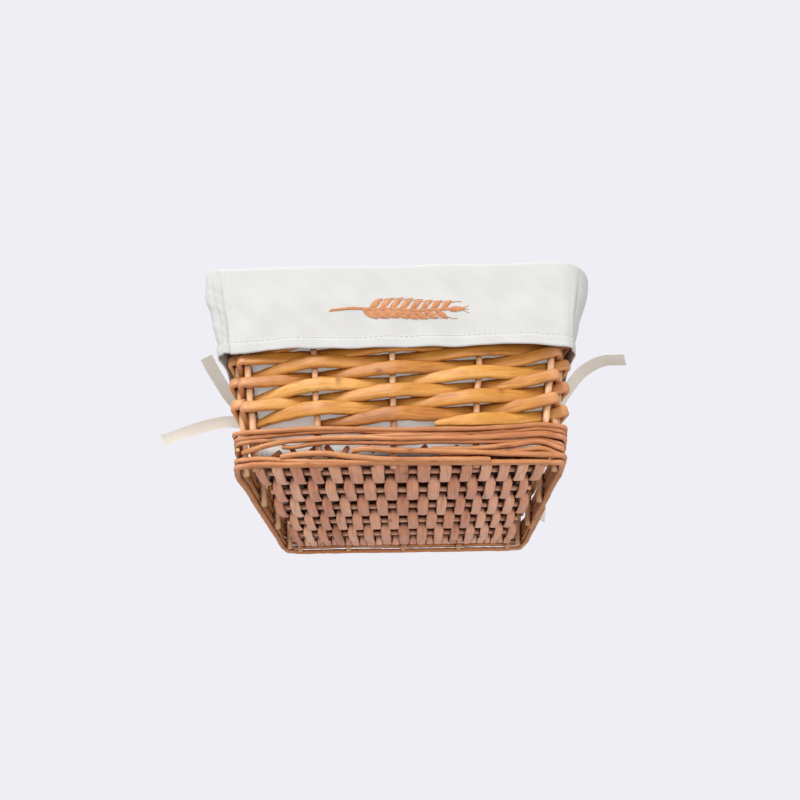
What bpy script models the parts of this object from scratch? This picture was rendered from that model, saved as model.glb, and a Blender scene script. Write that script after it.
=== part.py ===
"""A rectangular willow bread basket with a cotton liner whose cuff folds over the rim.

The frame is in metres, +Z up, +X along the long side and the embroidered front facing -Y. The
origin is on the surface that the basket stands on, under the middle of its base.

The wall is a rounded rectangle that widens evenly upwards. A place on it is a station from 0 to 8:
an even segment is a straight side (front, right, back, left) and an odd one is the corner after it.
"""

import math

import bmesh
import bpy
from mathutils import Vector

# The wall's middle surface, in which the side stakes stand
HALF_WIDTH = 0.1112
HALF_DEPTH = 0.093
CORNER_RADIUS = 0.0090
TAPER = 0.168
STAKE_TOP = 0.149

# Side stakes, by the share of each straight side that they stand at
FRONT_STAKES = (0.0, 0.222, 0.480, 0.763, 1.0)
BACK_STAKES = (0.0, 0.235, 0.5, 0.765, 1.0)
SIDE_STAKES = (0.0, 0.34, 0.66, 1.0)
STAKE_SHARES = (FRONT_STAKES, SIDE_STAKES, BACK_STAKES, SIDE_STAKES)
STAKES = sum(len(shares) for shares in STAKE_SHARES)
STAKE_RADIUS = 0.0026
STAKE_SIDES = 6
STAKE_FOOT = 0.001

# Gap kept between pieces that touch
GAP = 0.0004

# Waling, the rows of thin rods that bind the wall to the base: (rods, rod thickness)
FOOT_WALE = (3, 0.0044)
UPPER_WALE = (4, 0.0032)
WALE_REPEAT = 3

# The weave of the wall: each rod climbs evenly from stake to stake, nearly once round the basket
WEAVERS = 12
WEAVER_HEIGHT = 0.0090
WEAVER_CORNER_HEIGHT = 0.0073
WEAVER_THICKNESS = 0.0048
WEAVER_PITCH = 0.0094
# How much higher the whole weave lies near the left end of the front, and how many stakes that spans
WEAVE_LIFT = 0.0066
LIFT_PLACE = 0.4
LIFT_SPREAD = 3.8
CORNER_EXTRA = 0.0005
CORNER_SHIFT = {False: 0.4, True: 0.1}

# The border that the stakes are turned down into, under the cloth
RIM_HEIGHT = 0.008
RIM_WIDTH = 0.0156

# The woven base: strips from front to back over sticks from left to right
STICKS = 5
STICK_RADIUS = 0.0025
STICK_HEIGHT = 0.0066
FIRST_STICK = -0.0786
STICK_PITCH = 0.0342
STICK_END_GAP = 0.0072
STRIPS = 29
STRIP_WIDTH = 0.0066
STRIP_THICKNESS = 0.0014
STRIP_EDGE_GAP = 0.0074
STRIP_REACH = 0.0854
END_ROD_PLACE = 0.0838
END_ROD_THICKNESS = 0.0042

# The cotton liner
CLOTH = 0.0012
BAG_OFFSET = -0.0082
BAG_RADIUS = 0.008
CUFF_HEM = 0.089
CUFF_OFFSET = 0.0084
CUFF_TOP_OFFSET = 0.0118
CUFF_RADIUS = 0.017
HEM_PUFF = (0.0018, 0.0)
TOP_PUFF = (0.0046, 0.0022)

# The wheat ear embroidered on the cuff
EAR_LENGTH = 0.104
EAR_GRAINS = 8
GRAIN_LENGTH = 0.0115
GRAIN_WIDTH = 0.0052
GRAIN_TILT = math.radians(38)
THREAD_HEIGHT = 0.0008
STEM_WIDTH = 0.0022
EAR_HEIGHT = 0.1215

# Cotton tape ties: the knots, and each tail's own points and the way its width faces at both ends
TAPE_WIDTH = 0.0108
TAPE_THICKNESS = 0.0008
KNOT_HEIGHT = 0.1
KNOT_SIZE = (0.0055, 0.0085, 0.0075)
KNOT_Y = 0.004
TAIL_POINTS_PER_SPAN = 5
TAILS = {
    "tie_left_upper": (
        ((-0.1491, -0.001, 0.1085), (-0.1571, -0.014, 0.1112), (-0.1642, -0.030, 0.1188),
         (-0.1695, -0.044, 0.1260), (-0.1731, -0.056, 0.1318)),
        (-0.67, 0.21, -0.72), (-0.86, 0.01, -0.52),
    ),
    "tie_left_lower": (
        ((-0.1500, 0.002, 0.0965), (-0.1617, -0.003, 0.0952), (-0.1796, -0.006, 0.0899),
         (-0.1988, -0.006, 0.0828), (-0.2198, -0.003, 0.0760)),
        (0.0, 0.50, -0.87), (0.33, 0.57, -0.75),
    ),
    "tie_right_upper": (
        ((0.1491, -0.001, 0.1085), (0.1579, -0.015, 0.1181), (0.1690, -0.029, 0.1268),
         (0.1818, -0.043, 0.1277), (0.1975, -0.056, 0.1199)),
        (0.45, 0.60, -0.66), (0.16, 0.85, -0.50),
    ),
    "tie_right_lower": (
        ((0.1460, 0.008, 0.0905), (0.1402, 0.013, 0.0678), (0.1336, 0.020, 0.0457),
         (0.1284, 0.026, 0.0238), (0.1252, 0.030, 0.0055)),
        (0.25, 0.95, 0.0), (0.50, 0.86, 0.0),
    ),
}

WILLOW = ("willow", (0.62, 0.34, 0.13), 0.45)
WILLOW_PALE = ("willow_pale", (0.72, 0.45, 0.26), 0.55)
COTTON = ("cotton", (0.86, 0.85, 0.81), 0.9)
THREAD = ("thread", (0.70, 0.36, 0.16), 0.5)

SIDES = (
    (Vector((1, 0, 0)), Vector((0, -1, 0))),
    (Vector((0, 1, 0)), Vector((1, 0, 0))),
    (Vector((-1, 0, 0)), Vector((0, 1, 0))),
    (Vector((0, -1, 0)), Vector((-1, 0, 0))),
)
UP = Vector((0, 0, 1))


def clear_scene():
    for obj in list(bpy.data.objects):
        bpy.data.objects.remove(obj)


def material(kind):
    name, colour, roughness = kind
    made = bpy.data.materials.get(name)
    if made is None:
        made = bpy.data.materials.new(name)
        made.use_nodes = True
        shader = made.node_tree.nodes["Principled BSDF"]
        shader.inputs["Base Color"].default_value = (*colour, 1)
        shader.inputs["Roughness"].default_value = roughness
        shader.inputs["Metallic"].default_value = 0
    return made


def solid(name, points, faces, kind):
    """A closed mesh object from points and faces, with its faces turned outwards."""
    mesh = bpy.data.meshes.new(name)
    mesh.from_pydata(points, [], faces)
    shape = bmesh.new()
    shape.from_mesh(mesh)
    bmesh.ops.recalc_face_normals(shape, faces=shape.faces)
    shape.to_mesh(mesh)
    shape.free()
    mesh.materials.append(material(kind))
    made = bpy.data.objects.new(name, mesh)
    bpy.context.collection.objects.link(made)
    return made


def joined(base, others, name):
    """The base object with the others joined to it, which are kept in a hidden collection."""
    helpers = bpy.data.collections.new(name)
    bpy.context.scene.collection.children.link(helpers)
    helpers.hide_render = True
    for other in others:
        bpy.context.collection.objects.unlink(other)
        helpers.objects.link(other)
        other.hide_render = True
        other.display_type = "WIRE"
    join = base.modifiers.new("join", "BOOLEAN")
    join.operation = "UNION"
    join.operand_type = "COLLECTION"
    join.collection = helpers
    join.solver = "EXACT"
    return base


def skin(rings, closed):
    """Points and faces of a surface through equal rings of points, capped unless it closes on itself."""
    size = len(rings[0])
    points = [point for ring in rings for point in ring]
    faces = []
    for i in range(len(rings) if closed else len(rings) - 1):
        here, there = i * size, (i + 1) % len(rings) * size
        for k in range(size):
            after = (k + 1) % size
            faces.append((here + k, here + after, there + after, there + k))
    if not closed:
        faces.append(tuple(range(size)))
        faces.append(tuple(range(len(points) - size, len(points))))
    return points, faces


def slab(middle, across, up, half_across, half_up):
    """The four corners of a rectangular cross-section."""
    return [
        middle + across * (half_across * a) + up * (half_up * b)
        for a, b in ((1, -1), (1, 1), (-1, 1), (-1, -1))
    ]


def side_sizes(side, height):
    """Half the length of a side and its distance from the middle, at a height."""
    width = HALF_WIDTH + TAPER * height
    depth = HALF_DEPTH + TAPER * height
    return (width, depth) if side % 2 == 0 else (depth, width)


def wall_frame(station, height):
    """The point of the wall's middle surface at a station and a height, and the way it faces."""
    segment = int(station) % 8
    share = station - int(station)
    along, out = SIDES[segment // 2]
    length, distance = side_sizes(segment // 2, height)
    straight = length - CORNER_RADIUS
    if segment % 2 == 0:
        point = along * (straight * (2 * share - 1)) + out * distance
        facing = out
    else:
        turn = share * math.pi / 2
        facing = out * math.cos(turn) + along * math.sin(turn)
        centre = along * straight + out * (distance - CORNER_RADIUS)
        point = centre + facing * CORNER_RADIUS
    return point + UP * height, facing


def wall_point(station, height):
    return wall_frame(station, height)[0]


def wall_lean(station):
    """How the wall's middle surface moves for each metre of height, at a station."""
    return wall_point(station, 1.0) - wall_point(station, 0.0)


def rod_bends(is_outside, reach):
    """The bends of a woven rod in one round: each one's count of stakes, station, facing and offset.

    Beside a corner the counts bunch up, so that two rods cross there where both are nearly level.
    """
    bends = []
    count = 0
    for side, shares in enumerate(STAKE_SHARES):
        out = SIDES[side][1]
        for share, following in zip(shares, [*shares[1:], None]):
            here, there = is_outside(count % STAKES), is_outside((count + 1) % STAKES)
            shift = CORNER_SHIFT[here] * ((share == 1.0) - (share == 0.0))
            bends.append((count + shift, 2 * side + share, out, reach if here else -reach))
            if following is None:
                bends += corner_bends(side, count, (here, there), reach)
            else:
                middle = 2 * side + (share + following) / 2
                bends.append((count + 0.5, middle, out, reach * (here + there - 1)))
            count += 1
    return bends


def corner_bends(side, count, outside, reach):
    """The bends between the two stakes of the corner after a side, round the stake inside the rod."""
    along, out = SIDES[side]
    diagonal = (out + along).normalized()
    first, second = 2 * side + 1, 2 * side + 2
    wide = reach + CORNER_EXTRA
    if all(outside):
        return [(count + 0.5, first + 0.5, diagonal, wide)]
    if outside[0]:
        return [(count + 0.35, first, diagonal, wide), (count + 0.5, first, along, reach)]
    return [(count + 0.5, second, out, reach), (count + 0.65, second, diagonal, wide)]


def rod_ring(bend, height, thickness, rod_height):
    """A rod's cross-section at one of its bends, leaning with the wall."""
    _, station, facing, offset = bend
    middle = wall_point(station, height) + facing * offset
    return slab(middle, facing, wall_lean(station), thickness / 2, rod_height / 2)


def between_rings(count, before, after):
    """The cross-section at a count of stakes between two others, each given with its own count."""
    share = (count - before[0]) / (after[0] - before[0])
    return [a.lerp(b, share) for a, b in zip(before[1], after[1])]


def weave_lift(count):
    """How much higher the weave lies at a count of stakes, from the left end of the front."""
    away = (count - LIFT_PLACE + STAKES / 2) % STAKES - STAKES / 2
    return WEAVE_LIFT * math.cos(math.pi / 2 * min(1.0, abs(away) / LIFT_SPREAD)) ** 2


def make_weaver(number):
    """One rod of the wall, outside one stake and inside the next, climbing as it goes round."""
    rise = WEAVERS * WEAVER_PITCH / STAKES
    floor = wale_top() + WEAVER_HEIGHT / 2
    start = number * STAKES / WEAVERS
    end = start + (STAKE_TOP - GAP - WEAVER_HEIGHT / 2 - WEAVE_LIFT - floor) / rise
    bends = rod_bends(lambda count: (count + number) % 2 == 1, STAKE_RADIUS + WEAVER_THICKNESS / 2 + GAP)
    rings = []
    for turn in range(3):
        for bend in bends:
            count = turn * STAKES + bend[0]
            straight = 0 < bend[1] % 2 < 1
            rod_height = WEAVER_HEIGHT if straight else WEAVER_CORNER_HEIGHT
            height = floor + (count - start) * rise + weave_lift(count)
            rings.append((count, rod_ring(bend, height, WEAVER_THICKNESS, rod_height)))
    first = next(i for i, ring in enumerate(rings) if ring[0] > start)
    last = next(i for i, ring in enumerate(rings) if ring[0] >= end)
    path = [
        between_rings(start, rings[first - 1], rings[first]),
        *(ring for _, ring in rings[first:last]),
        between_rings(end, rings[last - 1], rings[last]),
    ]
    return solid(f"wall_weaver_{number + 1:02d}", *skin(path, False), WILLOW)


def wale_top():
    """The height of the top of the waling."""
    return sum(rods * (thickness + GAP) for rods, thickness in (FOOT_WALE, UPPER_WALE))


def make_wale(name, bottom, thickness, turn):
    """One rod of the waling, outside two stakes and inside the third, level all the way round."""
    bends = rod_bends(lambda count: (count + turn) % WALE_REPEAT != 0, STAKE_RADIUS + thickness / 2 + GAP)
    rings = [rod_ring(bend, bottom + thickness / 2, thickness, thickness) for bend in bends]
    return solid(name, *skin(rings, True), WILLOW_PALE)


def make_waling():
    bottom = 0.0
    for label, (rods, thickness) in (("foot", FOOT_WALE), ("upper", UPPER_WALE)):
        for i in range(rods):
            make_wale(f"{label}_wale_{i + 1}", bottom, thickness, i)
            bottom += thickness + GAP


def make_stake(number, station):
    """One straight upright rod from the foot to the border."""
    ends = [wall_frame(station, height)[0] for height in (STAKE_FOOT, STAKE_TOP)]
    facing = wall_frame(station, 0)[1]
    along = UP.cross(facing)
    rings = []
    for end in ends:
        ring = []
        for k in range(STAKE_SIDES):
            turn = 2 * math.pi * (k + 0.5) / STAKE_SIDES
            ring.append(end + (facing * math.cos(turn) + along * math.sin(turn)) * STAKE_RADIUS)
        rings.append(ring)
    return solid(f"side_stake_{number + 1:02d}", *skin(rings, False), WILLOW_PALE)


def make_rim():
    """The border ring on top of the stakes."""
    height = STAKE_TOP + GAP + RIM_HEIGHT / 2
    rings = []
    for segment in range(8):
        for share in (0.0, 0.5) if segment % 2 else (0.0,):
            point, facing = wall_frame(segment + share, height)
            lean = wall_lean(segment + share)
            rings.append(slab(point, facing, lean, RIM_WIDTH / 2, RIM_HEIGHT / 2))
    return solid("rim_border", *skin(rings, True), WILLOW)


def make_stick(number):
    """One rod of the base, from left to right through the strips."""
    half = HALF_WIDTH - STICK_END_GAP
    y = FIRST_STICK + number * STICK_PITCH
    rings = []
    for x in (-half, half):
        ring = []
        for k in range(STAKE_SIDES):
            turn = 2 * math.pi * k / STAKE_SIDES
            ring.append(
                Vector((x, y + STICK_RADIUS * math.cos(turn), STICK_HEIGHT + STICK_RADIUS * math.sin(turn)))
            )
        rings.append(ring)
    return solid(f"base_stick_{number + 1}", *skin(rings, False), WILLOW_PALE)


def end_rod(y):
    """The rod that the strips end in, as a square bar from left to right."""
    half = HALF_WIDTH - STICK_END_GAP
    middle_up = Vector((0, 0, STICK_HEIGHT))
    rings = []
    for x in (-half, half):
        middle = Vector((x, y, 0)) + middle_up
        half_side = END_ROD_THICKNESS / 2
        rings.append(slab(middle, Vector((0, 1, 0)), UP, half_side, half_side))
    return skin(rings, False)


def strip(number):
    """One strip of the base, under one stick and over the next."""
    span = 2 * (HALF_WIDTH - STRIP_EDGE_GAP) - STRIP_WIDTH
    x = -span / 2 + span * number / (STRIPS - 1)
    clear = STICK_RADIUS + STRIP_THICKNESS / 2 + GAP
    places = [(-STRIP_REACH, 0.0)]
    for i in range(STICKS):
        y = FIRST_STICK + i * STICK_PITCH
        if i > 0:
            places.append((y - STICK_PITCH / 2, 0.0))
        places.append((y, -1.0 if (i + number) % 2 == 0 else 1.0))
    places.append((FIRST_STICK + (STICKS - 0.5) * STICK_PITCH, 0.0))
    places.append((STRIP_REACH, 0.0))
    rings = [
        slab(
            Vector((x, y, STICK_HEIGHT + wave * clear)),
            Vector((1, 0, 0)),
            UP,
            STRIP_WIDTH / 2,
            STRIP_THICKNESS / 2,
        )
        for y, wave in places
    ]
    return skin(rings, False)


def make_base_weave():
    """All the strips, joined by the two end rods that they are wrapped round."""
    base = solid("base_weave", *end_rod(-END_ROD_PLACE), WILLOW_PALE)
    others = [solid("base_end_rod", *end_rod(END_ROD_PLACE), WILLOW_PALE)]
    others += [solid(f"base_strip_{i + 1}", *strip(i), WILLOW_PALE) for i in range(STRIPS)]
    return joined(base, others, "joined_strips")


def cloth_ring(height, offset, radius, puff=(0.0, 0.0)):
    """Points round the basket at a height and an offset from the wall, with puff more along X and Y."""
    half_x = HALF_WIDTH + TAPER * height + offset + puff[0]
    half_y = HALF_DEPTH + TAPER * height + offset + puff[1]
    ring = []
    for quarter, (sx, sy) in enumerate(((1, -1), (1, 1), (-1, 1), (-1, -1))):
        for step in range(4):
            turn = math.pi / 2 * (quarter - 1 + step / 3)
            x = sx * (half_x - radius) + radius * math.cos(turn)
            y = sy * (half_y - radius) + radius * math.sin(turn)
            ring.append(Vector((x, y, height)))
    return ring


def rim_top():
    return STAKE_TOP + GAP + RIM_HEIGHT


def make_bag():
    """The liner's bag: its floor and four walls, inside the weave."""
    floor = STICK_HEIGHT + STICK_RADIUS + GAP + STRIP_THICKNESS + GAP
    top = rim_top()
    inner_radius = BAG_RADIUS - CLOTH
    rings = [
        cloth_ring(floor, BAG_OFFSET, BAG_RADIUS),
        cloth_ring(top, BAG_OFFSET, BAG_RADIUS),
        cloth_ring(top, BAG_OFFSET - CLOTH, inner_radius),
        cloth_ring(floor + CLOTH, BAG_OFFSET - CLOTH, inner_radius),
    ]
    return solid("liner_bag", *skin(rings, False), COTTON)


def make_cuff():
    """The liner's cuff: over the border, and down the outside to its hem."""
    under = rim_top() + GAP
    over = under + CLOTH
    inner = BAG_OFFSET - CLOTH
    rings = [
        cloth_ring(under, inner, BAG_RADIUS),
        cloth_ring(over, inner, BAG_RADIUS),
        cloth_ring(over, CUFF_TOP_OFFSET + CLOTH, CUFF_RADIUS + CLOTH, TOP_PUFF),
        cloth_ring(CUFF_HEM, CUFF_OFFSET + CLOTH, CUFF_RADIUS + CLOTH, HEM_PUFF),
        cloth_ring(CUFF_HEM, CUFF_OFFSET, CUFF_RADIUS, HEM_PUFF),
        cloth_ring(under, CUFF_TOP_OFFSET, CUFF_RADIUS, TOP_PUFF),
    ]
    return solid("liner_cuff", *skin(rings, True), COTTON)


def cuff_share(height):
    """How far up the cuff's outer face a height is, from 0 at the hem to 1 at the top."""
    return (height - CUFF_HEM) / (rim_top() + GAP + CLOTH - CUFF_HEM)


def cuff_offsets(height):
    """How far out from the wall the cuff's outer face is at a height, along X and along Y."""
    share = cuff_share(height)
    offset = CUFF_OFFSET + (CUFF_TOP_OFFSET - CUFF_OFFSET) * share + CLOTH
    return [offset + hem + (top - hem) * share for hem, top in zip(HEM_PUFF, TOP_PUFF)]


def cuff_front(height):
    """How far in front of the middle the cuff's outer face is, at a height."""
    return HALF_DEPTH + TAPER * height + cuff_offsets(height)[1]


def thread_plate(outline):
    """A thin plate over an outline of (x, height) points, lying on the front of the cuff."""
    front = [Vector((x, -cuff_front(z) - GAP - THREAD_HEIGHT, z)) for x, z in outline]
    back = [Vector((x, -cuff_front(z) - GAP, z)) for x, z in outline]
    return skin([front, back], False)


def grain_outline(x, z, tilt):
    """A pointed oval, its lower end at (x, z), leaning by tilt from the X axis."""
    outline = []
    for k in range(8):
        turn = 2 * math.pi * k / 8
        a = GRAIN_LENGTH / 2 * (1 + math.cos(turn))
        b = GRAIN_WIDTH / 2 * math.sin(turn)
        outline.append(
            (x + a * math.cos(tilt) - b * math.sin(tilt), z + a * math.sin(tilt) + b * math.cos(tilt))
        )
    return outline


def make_embroidery():
    """A wheat ear lying along the cuff: a stem with grains up both of its sides and one at its tip."""
    left, right = -EAR_LENGTH / 2, EAR_LENGTH / 2
    tip = right - GRAIN_LENGTH
    half = STEM_WIDTH / 2
    stem = [
        (left, EAR_HEIGHT - half),
        (tip + half, EAR_HEIGHT - half),
        (tip + half, EAR_HEIGHT + half),
        (left, EAR_HEIGHT + half),
    ]
    base = solid("wheat_embroidery", *thread_plate(stem), THREAD)
    grains = [grain_outline(tip, EAR_HEIGHT, 0.0)]
    first = left + EAR_LENGTH * 0.28
    pitch = (tip - first) / EAR_GRAINS
    for i in range(EAR_GRAINS):
        for sign in (-1, 1):
            grains.append(grain_outline(first + (i + 0.25 * sign) * pitch, EAR_HEIGHT, sign * GRAIN_TILT))
    others = [solid(f"grain_{i + 1}", *thread_plate(outline), THREAD) for i, outline in enumerate(grains)]
    return joined(base, others, "joined_grains")


def cuff_side(height):
    """How far to the side of the middle the cuff's outer face is, at a height."""
    return HALF_WIDTH + TAPER * height + cuff_offsets(height)[0]


def make_knot(name, sign):
    """A rounded knot of tape on the side of the cuff."""
    depth, half_y, half_z = KNOT_SIZE
    x = cuff_side(KNOT_HEIGHT) + GAP
    middle = Vector((sign * (x + depth / 2 + 0.0010), KNOT_Y, KNOT_HEIGHT))
    mesh = bpy.data.meshes.new(name)
    shape = bmesh.new()
    bmesh.ops.create_icosphere(shape, subdivisions=2, radius=1.0)
    for vert in shape.verts:
        vert.co.x *= depth / 2
        vert.co.y *= half_y
        vert.co.z *= half_z
    shape.to_mesh(mesh)
    shape.free()
    mesh.materials.append(material(COTTON))
    made = bpy.data.objects.new(name, mesh)
    made.location = middle
    bpy.context.collection.objects.link(made)
    return made


def smooth_route(points):
    """Points on a smooth curve through the given ones."""
    ends = [points[0] * 2 - points[1], *points, points[-1] * 2 - points[-2]]
    route = []
    for i in range(len(points) - 1):
        a, b, c, d = ends[i : i + 4]
        for step in range(TAIL_POINTS_PER_SPAN):
            t = step / TAIL_POINTS_PER_SPAN
            route.append(
                0.5 * (2 * b + (c - a) * t + (2 * a - 5 * b + 4 * c - d) * t**2
                       + (3 * b - a - 3 * c + d) * t**3)
            )
    return [*route, points[-1]]


def make_tail(name, points, width_start, width_end):
    """One end of a tape tie, a flat band along its route."""
    route = smooth_route([Vector(point) for point in points])
    rings = []
    for i, point in enumerate(route):
        share = i / (len(route) - 1)
        ahead = (route[min(i + 1, len(route) - 1)] - route[max(i - 1, 0)]).normalized()
        width = Vector(width_start).lerp(Vector(width_end), share)
        width = (width - ahead * width.dot(ahead)).normalized()
        rings.append(slab(point, ahead.cross(width), width, TAPE_THICKNESS / 2, TAPE_WIDTH / 2))
    return solid(name, *skin(rings, False), COTTON)


def main():
    clear_scene()
    make_base_weave()
    for i in range(STICKS):
        make_stick(i)
    stations = [2 * side + share for side, shares in enumerate(STAKE_SHARES) for share in shares]
    for i, station in enumerate(stations):
        make_stake(i, station)
    make_waling()
    for i in range(WEAVERS):
        make_weaver(i)
    make_rim()
    make_bag()
    make_cuff()
    make_embroidery()
    make_knot("tie_left_knot", -1)
    make_knot("tie_right_knot", 1)
    for name, (points, width_start, width_end) in TAILS.items():
        make_tail(name, points, width_start, width_end)


main()
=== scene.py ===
import math

import bpy
import numpy as np
from mathutils import Matrix, Vector


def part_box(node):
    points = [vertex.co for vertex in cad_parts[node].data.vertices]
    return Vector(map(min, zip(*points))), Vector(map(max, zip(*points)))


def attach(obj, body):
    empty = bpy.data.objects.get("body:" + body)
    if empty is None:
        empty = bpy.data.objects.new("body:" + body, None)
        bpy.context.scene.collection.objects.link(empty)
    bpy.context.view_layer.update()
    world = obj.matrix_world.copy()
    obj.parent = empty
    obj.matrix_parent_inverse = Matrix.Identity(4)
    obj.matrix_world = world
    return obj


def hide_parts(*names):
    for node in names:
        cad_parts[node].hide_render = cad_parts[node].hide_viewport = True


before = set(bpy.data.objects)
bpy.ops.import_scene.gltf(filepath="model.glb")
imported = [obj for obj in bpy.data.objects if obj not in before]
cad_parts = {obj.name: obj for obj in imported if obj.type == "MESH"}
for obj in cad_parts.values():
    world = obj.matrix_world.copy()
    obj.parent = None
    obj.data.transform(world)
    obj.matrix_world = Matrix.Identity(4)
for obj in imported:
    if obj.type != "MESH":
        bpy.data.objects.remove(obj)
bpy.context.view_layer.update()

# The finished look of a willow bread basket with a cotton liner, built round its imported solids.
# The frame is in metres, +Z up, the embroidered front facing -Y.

ROOT = "root"

# The wall's middle surface, as the solids have it
HALF_WIDTH = 0.1112
HALF_DEPTH = 0.093
CORNER_RADIUS = 0.0090
TAPER = 0.168
STAKE_TOP = 0.149
CUFF_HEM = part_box("liner_cuff")[0][2]
STAKE_SHARES = (
    (0.0, 0.222, 0.480, 0.763, 1.0),
    (0.0, 0.34, 0.66, 1.0),
    (0.0, 0.235, 0.5, 0.765, 1.0),
    (0.0, 0.34, 0.66, 1.0),
)
STAKES = sum(len(shares) for shares in STAKE_SHARES)
STAKE_RADIUS = 0.0026

# The rods of the wall: how they climb, and how far their middles lie from the wall's middle surface
WEAVERS = 12
WEAVER_PITCH = 0.0094
WEAVER_FLOOR = 0.0333
WEAVER_RISE = WEAVERS * WEAVER_PITCH / STAKES
WEAVER_CLIMB = 0.1042
WEAVE_LIFT = 0.0066
LIFT_PLACE = 0.4
LIFT_SPREAD = 3.8
CORNER_SHIFT = {False: 0.4, True: 0.1}
WEAVER_REACH = STAKE_RADIUS + 0.0015
# At the corner after each side, as a share of the reach
KINK_REACH = (1.75, 1.15, 1.15, 1.75)
KINK_SCALE = 1.06
INSIDE_LIFT = 0.0012
# Thickness and height of a rod at a corner stake, outside a stake, inside one, half way and in a kink
EDGE_SIZE, OUTSIDE_SIZE, INSIDE_SIZE = (0.0042, 0.0094), (0.0043, 0.0119), (0.0040, 0.0106)
MIDDLE_SIZE, KINK_SIZE = (0.0044, 0.0109), (0.0042, 0.0088)

# The four sides, front, right, back and left: the way along each and the way out of it
SIDES = (
    (np.array((1.0, 0, 0)), np.array((0, -1.0, 0))),
    (np.array((0, 1.0, 0)), np.array((1.0, 0, 0))),
    (np.array((-1.0, 0, 0)), np.array((0, 1.0, 0))),
    (np.array((0, -1.0, 0)), np.array((-1.0, 0, 0))),
)
UP = np.array((0, 0, 1.0))


# ---------------------------------------------------------------- materials


class Tree:
    """A material's node tree, with short calls to add nodes and to set or link their inputs."""

    def __init__(self, name):
        self.material = bpy.data.materials.new(name)
        self.material.use_nodes = True
        self.nodes = self.material.node_tree.nodes
        self.links = self.material.node_tree.links
        self.shader = self.nodes["Principled BSDF"]

    def put(self, socket, value):
        if isinstance(value, bpy.types.NodeSocket):
            self.links.new(value, socket)
        else:
            socket.default_value = value

    def set(self, node, **inputs):
        for name, value in inputs.items():
            self.put(node.inputs[name.replace("_", " ")], value)

    def add(self, kind, props=None, **inputs):
        node = self.nodes.new("ShaderNode" + kind)
        for name, value in (props or {}).items():
            setattr(node, name, value)
        self.set(node, **inputs)
        return node

    def math(self, operation, first, second=0.0):
        node = self.add("Math", {"operation": operation})
        self.put(node.inputs[0], first)
        self.put(node.inputs[1], second)
        return node.outputs[0]

    def times(self, first, second):
        return self.math("MULTIPLY", first, second)

    def plus(self, first, second):
        return self.math("ADD", first, second)

    def without(self, share):
        return self.math("SUBTRACT", 1.0, share)

    def attribute(self, name, output="Vector"):
        return self.add("Attribute", {"attribute_name": name}).outputs[output]

    def noise(self, vector, scale, detail=3.0, roughness=0.55):
        """A noise stretched along the axes: scale is its (x, y, z) frequency."""
        place = self.add("Mapping", None, Vector=vector, Scale=scale).outputs[0]
        node = self.add("TexNoise", None, Vector=place, Scale=1.0, Detail=detail, Roughness=roughness)
        return node.outputs["Fac"]

    def ramp(self, factor, *stops):
        """Colours, or plain numbers, at places from 0 to 1."""
        node = self.add("ValToRGB", None, Fac=factor)
        ramp = node.color_ramp
        while len(ramp.elements) < len(stops):
            ramp.elements.new(0.5)
        for element, (place, colour) in zip(ramp.elements, stops):
            element.position = place
            element.color = (*colour, 1) if isinstance(colour, tuple) else (colour, colour, colour, 1)
        return node.outputs["Color"]

    def mix(self, factor, a, b):
        node = self.add("Mix", {"data_type": "RGBA"})
        sockets = {socket.identifier: socket for socket in node.inputs}
        self.put(sockets["Factor_Float"], factor)
        self.put(sockets["A_Color"], a)
        self.put(sockets["B_Color"], (*b, 1))
        return next(socket for socket in node.outputs if socket.identifier == "Result_Color")

    def occlusion(self, distance, *stops):
        """A mask of the hollows that are narrower than the distance."""
        node = self.add("AmbientOcclusion", {"samples": 8}, Distance=distance)
        return self.ramp(node.outputs["AO"], *stops)

    def bump(self, height, strength, distance, normal=None):
        inputs = {"Height": height, "Strength": strength, "Distance": distance}
        if normal is not None:
            inputs["Normal"] = normal
        return self.add("Bump", None, **inputs).outputs[0]


def rgb(red, green, blue):
    """Linear colour from display values of 0 to 255."""
    return tuple(
        v / 12.92 if v <= 0.04045 else ((v + 0.055) / 1.055) ** 2.4
        for v in (red / 255, green / 255, blue / 255)
    )


WORN_WOOD = rgb(226, 160, 122)


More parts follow.
